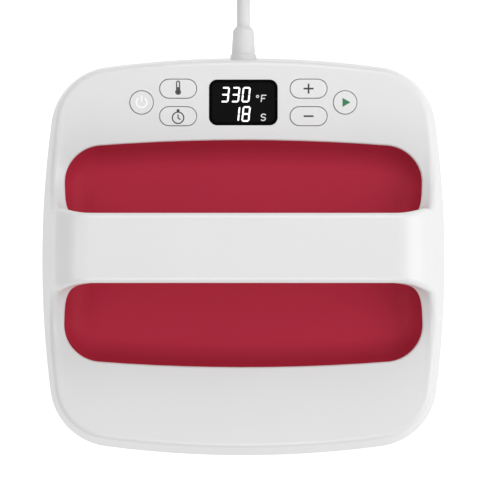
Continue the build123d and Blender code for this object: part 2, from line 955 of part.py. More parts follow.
def heat_shield():
    """A shallow folded aluminium pan over the felt, with four screw tabs."""
    inside = blanket_inset - shield_gap
    top = blanket_low + blanket_height + shield_gap
    low = plate_height + touch
    outer = at(0, 0, low) * extrude(plate_outline(inside - shield_sheet),
                                    amount=top + shield_sheet - low)
    inner = at(0, 0, low - overrun) * extrude(plate_outline(inside), amount=top - low + overrun)
    outer = fillet([e for e in outer.edges() if e.bounding_box().min.Z > top], shield_edge)
    pan = outer - inner
    tab_half = (inside - shield_tab_inset) / 2 + shield_tab_end / 2
    for x, y in shield_screw_places():
        along_x = abs(x) > abs(y)
        length = 2 * tab_half
        inward = tab_half - shield_tab_end
        middle_x = x - math.copysign(inward, x) if along_x else x
        middle_y = y if along_x else y - math.copysign(inward, y)
        size = (length, shield_tab_width) if along_x else (shield_tab_width, length)
        pan += block(middle_x, middle_y, low, low + shield_sheet, *size)
        pan -= cylinder(x, y, 0, far_side, small_screw_size[0] + snug_shank_gap)
    above_tabs = low + shield_opening_start
    for x, y in element_end_places():
        pan -= cylinder(x, y, above_tabs, far_side, lead_hole)
    pan -= cylinder(sensor_x, 0, above_tabs, far_side, sensor_opening)
    pan -= block(0, cutoff_y, above_tabs, far_side, cutoff_opening, 2 * cutoff_reach,
                 cutoff_opening_corner)
    return pan


def plate_spacers():
    """Ceramic spacers between the plate and the skirt's ledge."""
    made = []
    for x, y in plate_screw_places():
        ring = cylinder(x, y, plate_height + touch, ledge_level - touch, spacer_radius)
        made.append(ring - cylinder(x, y, 0, far_side, plate_screw_size[0] + shank_gap))
    return group(made)


def screw(x, y, seat, size, length, up=False):
    """A pan-head screw with its head on a seat level, driven down, or up if asked."""
    shank_radius, head_radius, head_height = size
    head = extrude(Circle(head_radius), amount=head_height)
    dome = [e for e in head.edges() if e.center().Z > head_height - touch]
    head = fillet(dome, head_height * head_dome_share)
    body = head + at(0, 0, -length) * extrude(Circle(shank_radius), amount=length + touch)
    turned = Rotation(180, 0, 0) * body if up else body
    return at(x, y, seat) * turned


def plate_screws():
    seat = ledge_level + ledge_thickness + touch
    return group(
        screw(x, y, seat, plate_screw_size, plate_screw_length) for x, y in plate_screw_places())


def plate_small_screws():
    """Alike small screws that hold the shield's tabs, the sensor and the cut-offs' strap."""
    seats = [(x, y, shield_sheet) for x, y in shield_screw_places()]
    seats += [(x, y, strap_thickness) for x, y in cutoff_screw_places()]
    seats.append((sensor_x, 0.0, lug_thickness))
    return group(
        screw(x, y, plate_height + sheet + 2 * touch, small_screw_size, small_plate_screw_length)
        for x, y, sheet in seats)


def housing_screws():
    seat = skirt_bottom + housing_recess - touch
    return group(
        screw(x, y, seat, case_screw_size, housing_screw_length, up=True)
        for x, y in corner_screw_places())


def handle_screws():
    seat = tunnel_ceiling + handle_recess - touch
    return group(
        screw(x, 0, seat, case_screw_size, handle_screw_length, up=True) for x in handle_screw_x)


def well_screws():
    seat = well_ear_level - touch
    return group(
        screw(x, y, seat, small_screw_size, well_screw_length, up=True)
        for x, y in well_screw_places())


def temperature_sensor():
    """A ring-lug thermistor on the middle of the plate."""
    low = plate_height + touch
    lug = cylinder(sensor_x, 0, low, low + lug_thickness, sensor_lug_radius)
    tail_length, tail_width = sensor_tail
    lug += block(sensor_x + tail_length, 0, low, low + lug_thickness, tail_length, tail_width)
    bead = Plane.YZ * (Pos(0, low + sensor_bead_radius) * Circle(sensor_bead_radius))
    lug += at(sensor_x + sensor_bead_x, 0) * extrude(bead, amount=sensor_bead_length)
    return lug - cylinder(sensor_x, 0, 0, far_side, small_screw_size[0] + snug_shank_gap)


def thermal_cutoffs():
    """Two one-shot cut-offs in series, lying across the plate."""
    made = []
    for i in (-1, 1):
        y = cutoff_y + i * cutoff_spacing / 2
        can = Plane.YZ * (Pos(y, plate_height + cutoff_rise) * Circle(cutoff_radius))
        made.append(extrude(can, amount=cutoff_length / 2, both=True))
    return group(made)


def cutoff_strap():
    """The sprung strap that holds both cut-offs down."""
    low = plate_height + touch
    high = plate_height + strap_rise
    sheet = strap_thickness
    width = strap_width
    half = strap_half_length
    reach = cutoff_reach + strap_foot
    strap = block(0, cutoff_y, high, high + sheet, width, 2 * half + 2 * sheet)
    for i in (-1, 1):
        side = cutoff_y + i * (half + sheet / 2)
        strap += block(0, side, low, high + sheet, width, sheet)
        foot = cutoff_y + i * (half + reach) / 2
        strap += block(0, foot, low, low + sheet, width, reach - half)
        shank = small_screw_size[0] + snug_shank_gap
        strap -= cylinder(0, cutoff_y + i * cutoff_reach, 0, far_side, shank)
    return strap


def terminal_beads():
    """Ceramic beads where the element's cold ends come out of the shield."""
    made = []
    for x, y in element_end_places():
        low = element_level + element_bend + touch
        bead = cylinder(x, y, low, low + bead_height, lead_hole - bead_gap)
        made.append(bead - cylinder(x, y, 0, far_side, element_radius + touch))
    return group(made)


def terminal_tabs():
    """Spade tabs on the element's ends."""
    made = []
    for x, y in element_end_places():
        low = element_top + touch
        high = low + tab_thickness
        tab = block(x, y, low, high, 2 * element_radius, 2 * element_radius, tab_corner)
        made.append(tab + block(x, y - blade_tab_shift, low, high, *blade_tab))
    return group(made)


# Keys, switches and display

def key_button(name):
    """A key cap with its hidden flange and the stem that presses the switch."""
    x, y, _ = key_place(name)
    under = deck_level - wall - touch
    flange_low = under - key_flange_thickness
    cap = extrude(key_outline(name, -key_gap), amount=deck_level + key_rise - under)
    cap = at(0, 0, under) * cap
    top = [e for e in cap.edges() if e.center().Z > deck_level + key_rise - touch]
    cap = fillet(top, key_edge)
    cap += at(0, 0, flange_low) * extrude(key_outline(name, key_flange), amount=key_flange_thickness)
    switch_top = board_level + switch_height + plunger_rise
    cap += cylinder(0, 0, switch_top, flange_low + touch, stem_radius)
    return at(x, y) * cap


def switch_plunger(name):
    """The moving plunger of the switch under a key."""
    x, y, _ = key_place(name)
    top = board_level + switch_height + plunger_rise
    return cylinder(x, y, top - plunger_height, top, plunger_radius)


def switch_bodies():
    """Six tactile switches on the control board, each with a bore for its plunger."""
    made = []
    for name in keys:
        x, y, _ = key_place(name)
        low = board_level + touch
        top = board_level + switch_height
        body = block(x, y, low, top, switch_side, switch_side, switch_corner)
        bore = top + plunger_rise - plunger_height - key_travel - bore_gap
        made.append(body - cylinder(x, y, bore, top + overrun, plunger_radius + plunger_gap))
    return group(made)


def display_lens():
    """The smoked window, held from below by its flange."""
    under = deck_level - wall - touch
    through = RectangleRounded(
        lens_width - 2 * lens_gap, lens_height - 2 * lens_gap, lens_corner - lens_gap)
    flange = RectangleRounded(
        lens_width + 2 * lens_flange, lens_height + 2 * lens_flange, lens_flange_corner)
    lens = at(0, panel_row, under) * extrude(through, amount=deck_level + lens_rise - under)
    low = under - lens_flange_thickness
    lens += at(0, panel_row, low) * extrude(flange, amount=lens_flange_thickness)
    return lens


def display_module():
    low = board_level + touch
    under_lens = deck_level - wall - touch - lens_flange_thickness
    high = min(board_level + display_height, under_lens - touch)
    margin_x, margin_y = display_margins
    body = block(0, panel_row, low, high, lens_width - margin_x, lens_height - margin_y,
                 display_corner)
    window = block(0, panel_row, high - display_recess, high + overrun,
                   lens_width - display_frame, lens_height - display_frame, display_corner)
    return body - window


def control_board():
    length = board_far - board_near
    middle = (board_far + board_near) / 2
    low = board_level - board_thickness
    board = block(0, middle, low, board_level, board_width, length, board_corner)
    board -= block(0, board_far, low - overrun, board_level + overrun, notch_width,
                   2 * notch_depth)
    for x, y in control_screws():
        board -= cylinder(x, y, 0, far_side, small_screw_size[0] + shank_gap)
    return board


def control_board_screws():
    seat = board_level - board_thickness - touch
    return group(
        screw(x, y, seat, small_screw_size, control_screw_length, up=True)
        for x, y in control_screws())


def buzzer():
    """The sounder, under the control board."""
    top = board_level - board_thickness - touch
    low = top - buzzer_height
    can = cylinder(buzzer_x, panel_row, low, top, buzzer_radius)
    return can - cylinder(buzzer_x, panel_row, low - overrun, low + buzzer_hole_depth,
                          buzzer_hole_radius)


# Power board and its components

def power_board():
    length = power_near - power_far
    middle = (power_near + power_far) / 2
    low = power_level - board_thickness
    board = block(0, middle, low, power_level, power_width, length, board_corner)
    for x, y in power_screws():
        board -= cylinder(x, y, 0, far_side, small_screw_size[0] + shank_gap)
    return board


def power_board_screws():
    seat = power_level - board_thickness - touch
    return group(
        screw(x, y, seat, small_screw_size, power_screw_length, up=True)
        for x, y in power_screws())


def on_power_board(x, inset, size, corner=component_corner):
    """A box that stands on the power board, at a distance from its front edge."""
    width, length, height = size
    low = power_level + touch
    return block(x, power_far + inset, low, low + height, width, length, corner)


def transformer():
    """Small switch-mode transformer: a bobbin between two core halves."""
    core = on_power_board(transformer_x, transformer_inset, transformer_size)
    width, length, height = winding_window
    low = power_level + touch + winding_window_low
    for side in (-1, 1):
        y = power_far + transformer_inset + side * winding_window_reach
        core -= block(transformer_x, y, low, low + height, width, length)
    return core


def relay():
    return on_power_board(relay_x, relay_inset, relay_size, relay_corner)


def capacitors():
    """Upright mains capacitors in a row."""
    low = power_level + touch
    top = low + capacitor_height
    made = []
    for x in capacitor_x:
        can = cylinder(x, power_far + capacitor_inset, low, top, capacitor_radius)
        made.append(fillet([e for e in can.edges() if e.center().Z > top - touch], capacitor_edge))
    return group(made)


def triac():
    width, depth, height = triac_size
    low = power_level + touch
    under = low + triac_rise
    y = sink_y + sink_plate / 2 + touch + depth / 2
    body = block(sink_x, y, under, under + height, width, depth, triac_corner)
    for i in (-1, 0, 1):
        body += block(sink_x + i * leg_pitch, y, low, under + touch, *leg_size)
    return body


def triac_heatsink():
    """Extruded heat sink with fins behind the triac."""
    low = power_level + touch
    top = low + sink_height
    sink = block(sink_x, sink_y, low, top, sink_width, sink_plate)
    fin_y = sink_y - sink_plate / 2 + fin_root - fin_length / 2
    for i in range(fin_count):
        x = sink_x + (i - (fin_count - 1) / 2) * fin_pitch
        sink += block(x, fin_y, low, top, fin_thickness, fin_length)
    return sink


def terminal_block():
    """Screw terminals where the mains and heater leads land."""
    low = power_level + touch
    top = low + terminal_height
    width = terminal_count * terminal_step + terminal_margin
    body = block(terminal_x, terminal_y, low, top, width, terminal_depth)
    inner = terminal_y + terminal_depth / 2 - mouth_depth
    for i in range(terminal_count):
        x = terminal_place(i)
        screw_low = low + terminal_screw_low
        body -= cylinder(x, terminal_y, screw_low, top + overrun, terminal_screw_radius)
        mouth = Plane.XZ * (Pos(x, terminal_level) * Circle(mouth_radius))
        body -= at(0, inner) * extrude(mouth, amount=-terminal_depth)
    return body


def terminal_place(i):
    return terminal_x + (i - (terminal_count - 1) / 2) * terminal_step


def fuse():
    """Glass mains fuse in its two clips."""
    level = power_level + touch + fuse_rise
    body = Plane.YZ * (Pos(power_far + fuse_inset, level) * Circle(fuse_radius))
    tube = at(fuse_start_x, 0) * extrude(body, amount=fuse_length)
    for x in clip_x:
        tube += on_power_board(x, fuse_inset, clip_size, 0.0)
    return tube


# Wiring inside the case

def tube_along(points, radius, bend):
    path = FilletPolyline(*points, radius=bend)
    section = Plane(origin=path @ 0, z_dir=path % 0) * Circle(radius)
    return sweep(section, path=path.wire())


def landing(x):
    """The last points of a lead: down to the run's level, then straight into its terminal."""
    mouth = terminal_y + terminal_depth / 2
    first, second = landing_runs
    return [
        (x, mouth + first, wire_level),
        (x, mouth + second, terminal_level),
        (x, mouth - landing_depth, terminal_level),
    ]


def mains_leads():
    """Live, neutral and earth cores from the cord's jacket to three of the terminals."""
    made = []
    first, second = core_runs
    for i in (-1, 0, 1):
        x = i * core_spacing
        points = [
            (x, jacket_end, cord_level),
            (x, jacket_end - first, cord_level),
            (x, jacket_end - second, wire_level),
            *landing(terminal_place(terminal_count // 2 + i)),
        ]
        made.append(tube_along(points, core_radius, lead_bend))
    return group(made)


def heater_leads():
    """Sleeved leads from the element's tabs to the two outer terminals."""
    made = []
    start, bend, foot = heater_lead_runs
    for (x, y), terminal in zip(element_end_places(), (0, terminal_count - 1)):
        level = element_top + tab_thickness + wire_radius + 3 * touch
        points = [
            (x, y - start, level),
            (x, y - bend, level),
            (x * lead_share, y - foot, wire_level),
            *landing(terminal_place(terminal)),
        ]
        made.append(tube_along(points, wire_radius, lead_bend))
    return group(made)


def ribbon_cable():
    """Flat cable from the control board, under the well, to the power board."""
    under_board = board_level - board_thickness - ribbon_drop
    over_board = power_level + ribbon_landing
    path = FilletPolyline(
        (ribbon_x, board_near + ribbon_overlap, under_board),
        (ribbon_x, board_near - ribbon_landing, under_board),
        (ribbon_x, board_near - ribbon_turn, ribbon_level),
        (ribbon_x, power_near + ribbon_turn, ribbon_level),
        (ribbon_x, power_near - ribbon_landing, over_board),
        (ribbon_x, power_near - ribbon_turn, over_board),
        radius=ribbon_bend,
    )
    start = Plane(origin=path @ 0, z_dir=path % 0, x_dir=(1, 0, 0))
    section = start * Rectangle(ribbon_width, ribbon_thickness)
    return sweep(section, path=path.wire())


# Mains cord, coil, tie and plug

relief_wall_y = body_length / 2 - wall_inset(cord_level)
relief_tip = relief_wall_y + relief_length
relief_inner = relief_wall_y - relief_depth


def strain_relief():
    """A moulded bush that tapers off along the cord."""
    collar = relief_wall_y + relief_collar
    flange_end = relief_inner + relief_flange_thickness
    collar_drop, collar_run = relief_collar_step
    tip_drop, tip_run = relief_tip_step
    profile = Polyline(
        (cord_radius + touch, relief_inner),
        (relief_flange, relief_inner),
        (relief_flange, flange_end),
        (relief_radius, flange_end),
        (relief_radius, collar),
        (relief_radius - collar_drop, collar + collar_run),
        (relief_tip_radius, relief_tip - tip_run),
        (relief_tip_radius - tip_drop, relief_tip),
        (cord_radius + touch, relief_tip),
        close=True,
    )
    bush = revolve(make_face(profile), axis=Axis.Y)
    return at(0, 0, cord_level) * bush


def cord_inner_end():
    """The jacket from the strain relief's tip in to where the cores fan out."""
    face = Plane.XZ * (Pos(0, cord_level) * Circle(cord_radius))
    tube = extrude(face, amount=-(relief_tip - jacket_end))
    return at(0, jacket_end) * tube


def clamp_screws():
    seat = clamp_split + clamp_step + touch
    return group(
        screw(i * clamp_post_x, clamp_y, seat, small_screw_size, clamp_screw_length)
        for i in (-1, 1))


def route_radii(points):
    """Bend radius at each inner point of a route: 0.45 of the shorter run over tan(half turn)."""
    radii = []
    for before, here, after in zip(points, points[1:], points[2:]):
        first = Vector(*here) - Vector(*before)
        second = Vector(*after) - Vector(*here)
        turn = math.radians(first.get_angle(second))
        radii.append(0.45 * min(first.length, second.length) / math.tan(turn / 2))
    return radii


cord_exit = (0.0, relief_tip, cord_level)
cord_points = [cord_exit, *cord_run]


def power_cord():
    radii = route_radii(cord_points)
    print("cord bend radii", [round(r, 1) for r in radii])
    path = FilletPolyline(*cord_points, radius=radii)
    section = Plane(origin=path @ 0, z_dir=path % 0) * Circle(cord_radius)
    tube = sweep(section, path=path.wire())
    share = tube.volume / (math.pi * cord_radius ** 2 * path.length)
    print("free cord length", round(path.length, 1), "volume share", round(share, 4))
    return tube


coil_level = cord_radius + floor_gap
coil_start = (cord_run[-1][0], cord_run[-1][1] + 2 * cord_radius, coil_level)
coil_centre = (coil_start[0] + coil_outer_radius, coil_start[1])


def coil_point(turn):
    """Centreline of the coil, clockwise from its leftmost point: in, up one layer, and out."""
    inner = coil_outer_radius - coil_pitch * coil_turns_in
    if turn <= coil_turns_in:
        radius = coil_outer_radius - coil_pitch * turn
        level = coil_level
    elif turn <= coil_turns_in + 0.5:
        share = (turn - coil_turns_in) / 0.5
        radius = inner + 0.5 * coil_pitch * (share * share - share)
        level = coil_level + coil_layer_step * share * share * (3 - 2 * share)
    else:
        radius = inner + coil_pitch * (turn - coil_turns_in - 0.5)
        level = coil_level + coil_layer_step
    angle = math.pi - 2 * math.pi * turn
    x = coil_centre[0] + radius * math.cos(angle)
    y = coil_centre[1] + radius * math.sin(angle)
    return Vector(x, y, level)


def coil_heading(turn):
    """Unit tangent of the coil's centreline."""
    step = 0.0005
    return (coil_point(turn + step) - coil_point(turn - step)).normalized()


def biarc(start, start_heading, end, end_heading):
    """Two arcs that leave and arrive along the given headings."""
    chord = end - start
    both = start_heading + end_heading
    a = 2 * (1 - start_heading.dot(end_heading))
    b = 2 * chord.dot(both)
    c = -chord.dot(chord)
    reach = -c / b if abs(a) < 1e-9 else (-b + math.sqrt(b * b - 4 * a * c)) / (2 * a)
    first = start + start_heading * reach
    second = end - end_heading * reach
    middle = (first + second) * 0.5
    heading = (second - first).normalized()
    return [
        Edge.make_tangent_arc(start, start_heading, middle),
        Edge.make_tangent_arc(middle, heading, end),
    ]


coil_turns = coil_turns_in + 0.5 + coil_turns_out


def coil_path():
    """The whole coil as one path of tangent arcs, a biarc to each quarter turn."""
    quarters = round(coil_turns * 4)
    places = [coil_point(i / 4) for i in range(quarters + 1)]
    headings = [coil_heading(max(i / 4, 0.001)) for i in range(quarters + 1)]
    headings[0] = Vector(0, 1, 0)
    headings[-1] = Vector(1, 0, 0)
    edges = [Edge.make_line(places[0] - headings[0] * 2 * cord_radius, places[0])]
    for i in range(quarters):
        edges += biarc(places[i], headings[i], places[i + 1], headings[i + 1])
    edges.append(Edge.make_line(places[-1], places[-1] + headings[-1] * 2 * cord_radius))
    return edges


def cord_coil():
    edges = coil_path()
    coil = sweep_tube(edges, cord_radius)
    print("coil length", round(sum(e.length for e in edges), 1))
    print("coil least gap", round(coil_least_gap(), 2))
    return coil


def coil_least_gap():
    """Smallest space between one turn of the coil and another, measured on points."""
    per_turn = 90
    count = int(coil_turns * per_turn)
    points = [coil_point(i / per_turn) for i in range(count + 1)]
    least = min(
        (a - b).length
        for i, a in enumerate(points)
        for b in points[i + per_turn // 2:]
    )
    return least - 2 * cord_radius


coil_end = coil_point(coil_turns) + Vector(2 * cord_radius, 0, 0)


def plug_cord():
    """The short straight stretch between the coil and the plug."""
    face = Plane.YZ * (Pos(coil_end.Y, coil_end.Z) * Circle(cord_radius))
    return at(coil_end.X, 0) * extrude(face, amount=plug_lead)


def cord_tie():
    """A flat tie round the coil's bundle, on its far right side."""
    inner_low = coil_centre[0] + coil_outer_radius - coil_pitch * (coil_turns_in + 0.5)
    low_x = inner_low - cord_radius - tie_inner_gap
    high_x = coil_centre[0] + coil_outer_radius + cord_radius + tie_outer_gap
    low_z = coil_level - cord_radius - tie_level_gap
    high_z = coil_level + coil_layer_step + cord_radius + tie_level_gap
    width = high_x - low_x
    height = high_z - low_z
    hole = RectangleRounded(width, height, tie_corner)
    band = RectangleRounded(
        width + 2 * tie_thickness, height + 2 * tie_thickness, tie_corner + tie_thickness)
    ring = Plane.XZ * (Pos((low_x + high_x) / 2, (low_z + high_z) / 2) * (band - hole))
    return at(0, coil_centre[1]) * extrude(ring, amount=tie_width / 2, both=True)


def plug_body():
    """Moulded plug with a ribbed neck, lying on its side beside the coil."""
    x = coil_end.X + plug_lead
    y, z = coil_end.Y, coil_end.Z
    neck_tip = Plane.YZ * (Pos(y, z) * Circle(cord_radius + plug_neck_wall))
    neck_root = at(plug_neck_length, 0) * (Plane.YZ * (Pos(y, z) * Circle(plug_neck_radius)))
    neck = loft([neck_tip, neck_root])
    first_drop, second_drop = plug_rib_depth
    for i in range(plug_rib_count):
        ring_x = plug_rib_start + i * plug_rib_pitch
        growth = (plug_neck_radius - cord_radius) * ring_x / plug_neck_length
        groove = Circle(plug_rib_reach) - Circle(cord_radius + first_drop + growth - second_drop)
        neck -= at(ring_x, 0) * extrude(Plane.YZ * (Pos(y, z) * groove), amount=plug_rib_width)
    start = plug_neck_length - plug_neck_overlap
    face = Plane.YZ * (Pos(y, z) * RectangleRounded(plug_width, plug_height, plug_corner))
    body = at(start, 0) * extrude(face, amount=plug_length)
    rear = [e for e in body.edges() if e.bounding_box().max.X < start + touch]
    body = fillet(rear, plug_rear_edge)
    front = [e for e in body.edges() if e.bounding_box().min.X > start + plug_length - touch]
    body = fillet(front, plug_front_edge)
    return at(x, 0) * (neck + body)


def plug_face():
    return coil_end.X + plug_lead + plug_neck_length - plug_neck_overlap + plug_length


def plug_blades():
    """The two flat blades, one above the other as the plug lies."""
    made = []
    for i in (-1, 1):
        z = coil_end.Z + i * blade_spacing / 2
        section = Rectangle(blade_width, blade_thickness)
        face = Plane.YZ * (Pos(coil_end.Y - blade_shift, z) * section)
        blade = at(plug_face() + touch, 0) * extrude(face, amount=blade_length)
        tip = [e for e in blade.edges() if e.bounding_box().min.X > plug_face() + blade_length]
        made.append(chamfer(tip, blade_chamfer))
    return group(made)


def plug_earth_pin():
    y = coil_end.Y - blade_shift + earth_offset
    face = Plane.YZ * (Pos(y, coil_end.Z) * Circle(earth_radius))
    pin = at(plug_face() + touch, 0) * extrude(face, amount=earth_length)
    tip = [e for e in pin.edges() if e.bounding_box().min.X > plug_face() + earth_length]
    return fillet(tip, earth_radius * earth_tip_share)


parts = {
    "upper_housing": upper_housing,
    "handle_lining": handle_lining,
    "grip_well": grip_well,
    "lower_skirt": lower_skirt,
    "heat_plate": heat_plate,
    "heating_element": heating_element,
    "insulation_blanket": insulation_blanket,
    "heat_shield": heat_shield,
    "plate_spacers": plate_spacers,
    "plate_screws": plate_screws,
    "plate_small_screws": plate_small_screws,
    "housing_screws": housing_screws,
    "handle_screws": handle_screws,
    "well_screws": well_screws,
    "temperature_sensor": temperature_sensor,
    "thermal_cutoffs": thermal_cutoffs,
    "cutoff_strap": cutoff_strap,
    "terminal_beads": terminal_beads,
    "terminal_tabs": terminal_tabs,
    "switch_bodies": switch_bodies,
    "display_lens": display_lens,
    "display_module": display_module,
    "control_board": control_board,
    "control_board_screws": control_board_screws,
    "buzzer": buzzer,
    "power_board": power_board,
    "power_board_screws": power_board_screws,
    "transformer": transformer,
    "relay": relay,
    "capacitors": capacitors,
    "triac": triac,
    "triac_heatsink": triac_heatsink,
    "terminal_block": terminal_block,
    "fuse": fuse,
    "mains_leads": mains_leads,
    "heater_leads": heater_leads,
    "ribbon_cable": ribbon_cable,
    "strain_relief": strain_relief,
    "cord_inner_end": cord_inner_end,
    "cord_clamp": cord_clamp,
    "clamp_screws": clamp_screws,
    "power_cord": power_cord,
    "cord_coil": cord_coil,
    "plug_cord": plug_cord,
    "cord_tie": cord_tie,
    "plug_body": plug_body,
    "plug_blades": plug_blades,
    "plug_earth_pin": plug_earth_pin,
}

os.makedirs("parts", exist_ok=True)
for node, make in parts.items():
    export_step(make(), f"parts/{node}.step")
for key in keys:
    export_step(key_button(key), f"parts/{key}_button.step")
    export_step(switch_plunger(key), f"parts/{key}_plunger.step")
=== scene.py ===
import json
import math

import bmesh
import bpy
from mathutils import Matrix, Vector


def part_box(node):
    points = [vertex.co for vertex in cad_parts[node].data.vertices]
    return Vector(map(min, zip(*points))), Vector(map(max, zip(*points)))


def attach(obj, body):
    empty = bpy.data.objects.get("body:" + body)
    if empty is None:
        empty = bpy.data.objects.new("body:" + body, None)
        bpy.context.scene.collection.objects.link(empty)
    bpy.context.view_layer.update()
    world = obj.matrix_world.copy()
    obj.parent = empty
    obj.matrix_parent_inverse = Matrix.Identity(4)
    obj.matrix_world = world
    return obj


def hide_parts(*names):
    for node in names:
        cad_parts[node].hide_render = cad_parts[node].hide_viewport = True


# Handheld heat press seen from above: materials, the free cord, and the signs on its panel.
# Metres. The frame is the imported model's: +Z up, the user at -Y, the cord at +Y.

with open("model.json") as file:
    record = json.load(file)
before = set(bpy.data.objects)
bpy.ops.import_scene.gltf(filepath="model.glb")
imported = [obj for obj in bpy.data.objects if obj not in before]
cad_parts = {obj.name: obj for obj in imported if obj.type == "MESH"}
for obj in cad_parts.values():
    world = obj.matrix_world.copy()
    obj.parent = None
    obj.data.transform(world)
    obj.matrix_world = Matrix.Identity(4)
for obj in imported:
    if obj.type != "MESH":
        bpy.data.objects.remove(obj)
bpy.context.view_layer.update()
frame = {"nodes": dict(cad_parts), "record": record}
nodes = frame["nodes"]

# Camera: almost straight down, leaning slightly towards the user
view_target = Vector((0.0039, 0.0035, 0.015))
view_distance = 1.431
view_lean = math.radians(3.0)
view_width = 0.2983
sensor_width = 36.0

# Light: the floor glows with one strength for the camera and another for everything else
light_target = Vector((0.0, 0.0, 0.05))
world_strength = 0.4
floor_white = 1.0
floor_bounce = 0.78
floor_tone = 0.2
floor_roughness = 0.9
floor_half = 6.0
floor_level = -0.0001
# Lamps: side of the object they stand on and lean from straight up, both in degrees, then
# distance, diameter and radiance
lamps = {
    "right": (0, 60, 1.5, 1.4, 1.95),
    "rear": (80, 40, 1.0, 0.6, 2.95),
    "left": (180, 40, 1.5, 0.6, 2.1),
    "front": (270, 40, 1.5, 0.6, 5.2),
}

# Cord: the free stretch's own points, then the coil's turns in, across to the next layer and out
cord_radius = 0.0039
cord_run = [
    (0, 0.155, 0.030),
    (0, 0.174, 0.0215),
    (0, 0.193, 0.011),
    (0, 0.212, 0.0049),
    (0, 0.230, 0.0049),
]
coil_outer_radius = 0.058
coil_pitch = 0.0088
coil_layer_step = 0.0083
coil_turns_in = 3.0
coil_turns_across = 0.5
coil_turns_out = 2.75
coil_points_per_turn = 24
# Steps around the cord and between its points, and its spline's order
cord_facets = 6
cord_steps = 8
cord_order = 3

# Signs on the panel: the print's thickness, and how many steps each kind of round line has
ink_thickness = 0.00004
ink_gap = 0.00001
ring_steps = 32
end_steps = 8
bulb_steps = 28
stem_steps = 14
letter_steps = 16
# Least cosine that widens a stroke's join, so that a sharp one doesn't stick out
sharpest_join = 0.5

# Plus and minus
bar_reach = 0.0029
bar_half_width = 0.0005

# Thermometer: radii of its bulb and stem, top of its stem, and the same for what it holds
bulb_level = -0.002
thermometer_form = (0.0017, 0.0012, 0.0047)
thermometer_line = 0.00065
mercury_form = (0.001, 0.0005, 0.001)

# Stopwatch: a ring below the middle of its key, a crown on it, and two hands
watch_radius = 0.00335
watch_line = 0.0007
watch_level = -0.00095
crown_half_width = 0.0008
crown_sink = 0.0001
crown_height = 0.0013
hand_line = 0.0007
hand_points = [(0, 0.002), (0, -0.0001), (0.0014, -0.0011)]

# Power sign: an open ring, the angles of its ends, and a stroke through the gap
power_radius = 0.00305
power_line = 0.0009
power_ends = (125, 415)
power_stroke = (0.0005, 0.0039)

# Start sign
triangle_reach = 0.0031

# Display: its dark screen, then the readings with the level of each, then the units beside
# them, which are a degree sign with an F and an S
screen_size = (0.0365, 0.0232)
screen_corner = 0.0032
digit_width = 0.00375
digit_height = 0.00815
digit_stroke = 0.00098
digit_slant = math.tan(math.radians(6))
digit_trim = 0.6
digit_pitch = 0.0061
last_digit_x = 0.0016
readings = {"330": 0.00455, "18": -0.0068}
unit_x = 0.0116
degree_place = (unit_x - 0.0033, 0.0035)
degree_radii = (0.0009, 0.0004)
letter_line = 0.00062
f_size = (0.003, 0.0042)
f_level = 0.0003
f_middle = 0.4
f_middle_reach = 0.8
s_bend = 0.00095
s_level = -0.0097
s_stretch = 1.35
s_lower_ends = (-160, 90)
s_upper_ends = (270, 20)


def new_object(name, data):
    thing = bpy.data.objects.new(name, data)
    bpy.context.scene.collection.objects.link(thing)
    return thing


# Materials

# What all surfaces share: detail of the drift and the grain, spread of the roughness, and
# strength of the relief
drift_detail = 3.0
grain_detail = 2.0
roughness_spread = 0.04
relief_strength = 0.6

# Sockets of a colour mix
mix_factor, mix_first, mix_second, mix_result = 0, 6, 7, 2

# Every print: its roughness, patches, grain and relief
ink_look = (0.5, 0.002, 0.0003, 0.000002)
white = (1, 1, 1, 1)


def surface(name, tones, roughness, patch, grain, relief, metallic=0.0, shine=0.5):
    """Colour drifts between two tones over patches; a fine grain lifts the surface."""
    material = bpy.data.materials.new(name)
    material.use_nodes = True
    tree = material.node_tree
    shader = tree.nodes["Principled BSDF"]
    shader.inputs["Metallic"].default_value = metallic
    shader.inputs["Specular IOR Level"].default_value = shine
    place = tree.nodes.new("ShaderNodeTexCoord")

    drift = tree.nodes.new("ShaderNodeTexNoise")
    drift.inputs["Scale"].default_value = 1 / patch
    drift.inputs["Detail"].default_value = drift_detail
    tree.links.new(place.outputs["Object"], drift.inputs["Vector"])
    mix = tree.nodes.new("ShaderNodeMix")
    mix.data_type = "RGBA"
    mix.inputs[mix_first].default_value = (*tones[0], 1)
    mix.inputs[mix_second].default_value = (*tones[1], 1)
    tree.links.new(drift.outputs["Fac"], mix.inputs[mix_factor])
    tree.links.new(mix.outputs[mix_result], shader.inputs["Base Color"])

    fine = tree.nodes.new("ShaderNodeTexNoise")
    fine.inputs["Scale"].default_value = 1 / grain
    fine.inputs["Detail"].default_value = grain_detail
    tree.links.new(place.outputs["Object"], fine.inputs["Vector"])
    spread = tree.nodes.new("ShaderNodeMapRange")
    spread.inputs["To Min"].default_value = roughness - roughness_spread
    spread.inputs["To Max"].default_value = roughness + roughness_spread
    tree.links.new(fine.outputs["Fac"], spread.inputs["Value"])
    tree.links.new(spread.outputs["Result"], shader.inputs["Roughness"])
    bump = tree.nodes.new("ShaderNodeBump")
    bump.inputs["Strength"].default_value = relief_strength
    bump.inputs["Distance"].default_value = relief
    tree.links.new(fine.outputs["Fac"], bump.inputs["Height"])
    tree.links.new(bump.outputs["Normal"], shader.inputs["Normal"])
    return material


def greys(*values):
    """Colours without a tint."""
    return [(value, value, value) for value in values]


def ink(name, tones, glow=0.0):
    """Printed or lit signs, and prints with a painted glow."""
    material = surface(name, tones, *ink_look)
    shader = material.node_tree.nodes["Principled BSDF"]
    shader.inputs["Emission Color"].default_value = white
    shader.inputs["Emission Strength"].default_value = glow
    return material


